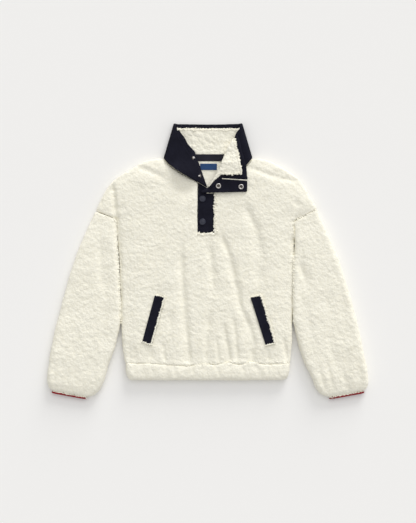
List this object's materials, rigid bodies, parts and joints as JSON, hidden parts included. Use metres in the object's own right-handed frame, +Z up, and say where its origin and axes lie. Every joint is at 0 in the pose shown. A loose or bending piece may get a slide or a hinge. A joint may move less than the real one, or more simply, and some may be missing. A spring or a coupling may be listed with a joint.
{
  "type": "sherpa pullover",
  "caption": "Sherpa pullover with a half snap placket, stand collar, slanted pocket welts, elastic hem and bound cuffs, laid flat on its back.",
  "frame": {"origin": "centre of the bounding box in plan, on the surface the garment lies on", "axes": "+X to the right across both sleeves and +Y from hem to collar as one looks down on the front, +Z up off the surface"},
  "size_m": [0.8046, 0.6937, 0.0341],
  "materials": {
    "cream_sherpa": "matt looped pile",
    "navy_cloth": "matt plain weave",
    "navy_tape": "twill tape",
    "red_binding": "matt binding",
    "blue_label": "satin weave",
    "navy_metal": "semi-matt paint",
    "steel": "bright nickel plate"
  },
  "bodies": {
    "root": {"back": "cream_sherpa", "front": "cream_sherpa", "sleeve_left": "cream_sherpa", "sleeve_right": "cream_sherpa", "hem_band": "cream_sherpa", "cuff_binding_left": "red_binding", "cuff_binding_right": "red_binding", "collar_shell": "navy_cloth", "collar_lining": "cream_sherpa", "placket": "navy_cloth", "placket_underlap": "navy_cloth", "neck_tape": "navy_tape", "label": "blue_label", "pocket_welt_left": "navy_cloth", "pocket_welt_right": "navy_cloth", "snap_cap_1": "navy_metal", "snap_cap_2": "navy_metal", "snap_socket_1": "steel", "snap_socket_2": "steel", "snap_stud_1": "steel", "snap_stud_2": "steel"}
  },
  "joints": []
}
